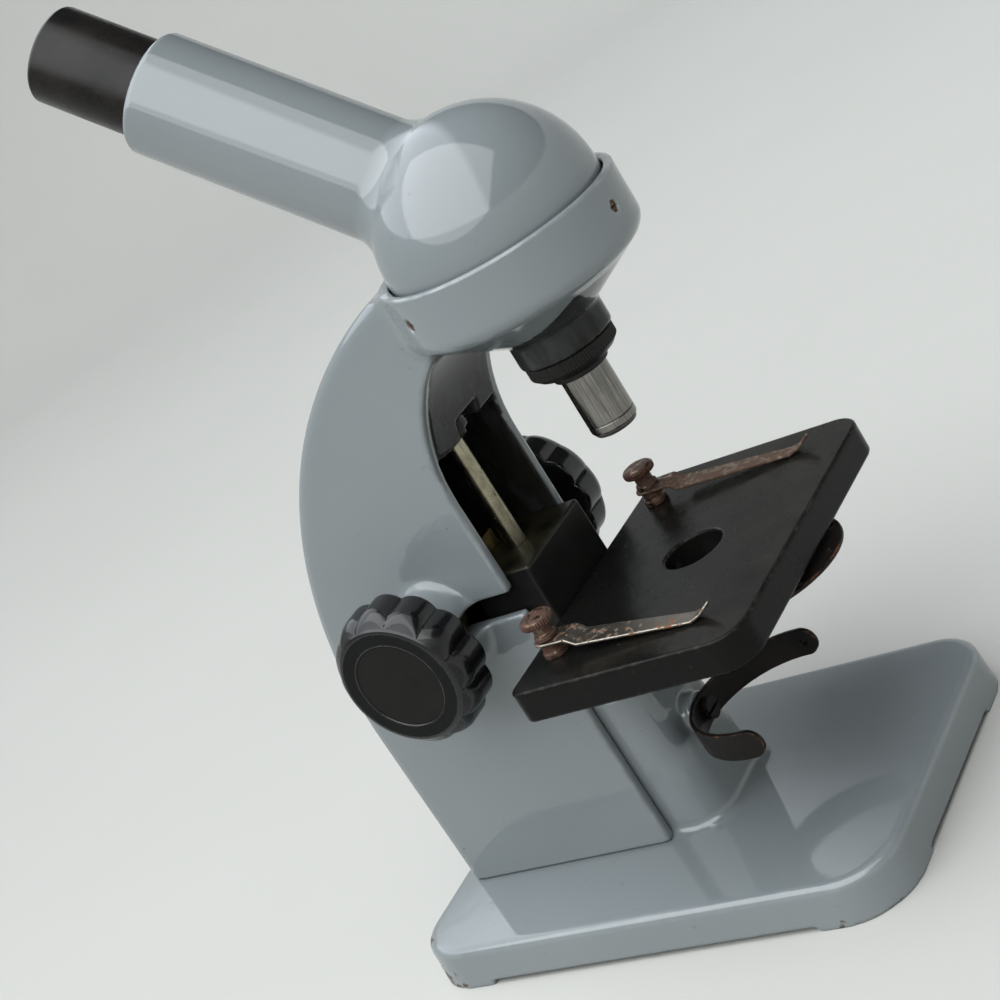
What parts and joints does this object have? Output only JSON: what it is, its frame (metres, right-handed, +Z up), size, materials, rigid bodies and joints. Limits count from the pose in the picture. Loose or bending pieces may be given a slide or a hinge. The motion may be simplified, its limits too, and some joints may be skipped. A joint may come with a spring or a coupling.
{
  "type": "microscope",
  "caption": "Free-standing light microscope: swivelling inclined eyepiece tube, rack-focused stage with spring clips, disc diaphragm and mirror fork on a flat base.",
  "frame": {"origin": "on the resting surface, under the middle of the whole microscope's bounding box", "axes": "+Z up, -Y towards the stage and objective side, +X across to the right knob"},
  "size_m": [0.114, 0.172, 0.3022],
  "materials": {
    "grey_enamel": "gloss enamel, chipped at the corners",
    "dark_steel": "dull, oiled",
    "bearing_brass": "dull",
    "rod_steel": "ground, brown patina",
    "rusty_steel": "rusted",
    "black_metal": "satin black",
    "bright_barrel": "fine turned",
    "worn_black": "black, rust through",
    "carriage_black": "blackened, oily",
    "rack_brass": "dull",
    "stage_black": "semi-matt black, stained",
    "clip_steel": "plated, rust spots",
    "bakelite": "polished black",
    "cap_plastic": "matt",
    "eyepiece_black": "satin black",
    "lens_glass": "polished"
  },
  "bodies": {
    "stand": {"base": "grey_enamel", "arm": "grey_enamel", "arm_bolts": "dark_steel", "shaft_bushes": "bearing_brass", "guide_rod": "rod_steel", "grub_screws": "rusty_steel", "knurled_ring": "black_metal", "objective_collar": "black_metal", "objective_barrel": "bright_barrel", "objective_tip": "dark_steel", "objective_front_lens": "lens_glass", "objective_rear_lens": "lens_glass", "fork_screw": "worn_black"},
    "stage": {"carriage_block": "carriage_black", "focus_rack": "rack_brass", "rack_screws": "dark_steel", "stage_plate": "stage_black", "stage_screws": "dark_steel", "clip_collars": "rusty_steel", "clip_screws": "rusty_steel", "diaphragm_screw": "dark_steel", "diaphragm_spacer": "dark_steel"},
    "left_clip": {"left_clip": "clip_steel"},
    "right_clip": {"right_clip": "clip_steel"},
    "diaphragm": {"diaphragm_disc": "worn_black"},
    "focus_shaft": {"pinion_shaft": "rod_steel", "pinion": "rack_brass", "left_knob": "bakelite", "right_knob": "bakelite", "knob_caps": "cap_plastic", "knob_screws": "dark_steel"},
    "fork": {"mirror_fork": "worn_black"},
    "head": {"dome": "grey_enamel", "prism_holder": "black_metal", "prism": "lens_glass"},
    "eyepiece": {"eyepiece_tube": "eyepiece_black", "eyepiece_cap": "eyepiece_black", "eye_lens": "lens_glass", "field_lens": "lens_glass", "field_stop": "black_metal"}
  },
  "joints": [
    {"name": "stage_focus", "type": "slide", "parent": "stand", "child": "stage", "axis": [0, 0, 1], "range_m": [-0.01, 0.036]},
    {"name": "focus_turn", "type": "hinge", "parent": "stand", "child": "focus_shaft", "pos_m": [0, 0.0275, 0.102], "axis": [1, 0, 0], "range_deg": [-345, 97]},
    {"name": "left_clip_turn", "type": "hinge", "parent": "stage", "child": "left_clip", "pos_m": [-0.038, -0.0162, 0.0973], "axis": [0, 0, 1], "range_deg": [-90, 40]},
    {"name": "right_clip_turn", "type": "hinge", "parent": "stage", "child": "right_clip", "pos_m": [0.038, -0.0162, 0.0973], "axis": [0, 0, 1], "range_deg": [-40, 90]},
    {"name": "diaphragm_turn", "type": "hinge", "parent": "stage", "child": "diaphragm", "pos_m": [0, -0.0605, 0.0794], "axis": [0, 0, 1], "continuous": true},
    {"name": "fork_swivel", "type": "hinge", "parent": "stand", "child": "fork", "pos_m": [0, -0.0182, 0.0415], "axis": [0, 1, 0], "range_deg": [-30, 30]},
    {"name": "head_swivel", "type": "hinge", "parent": "stand", "child": "head", "pos_m": [0, -0.0455, 0.19], "axis": [0, 0, 1], "range_deg": [-180, 180]},
    {"name": "eyepiece_pull", "type": "slide", "parent": "head", "child": "eyepiece", "axis": [0, 0.7193, 0.6947], "range_m": [0, 0.025]}
  ],
  "couplings": [
    {"joint": "focus_turn", "follows": "stage_focus", "rad_per_m": -166.67}
  ]
}
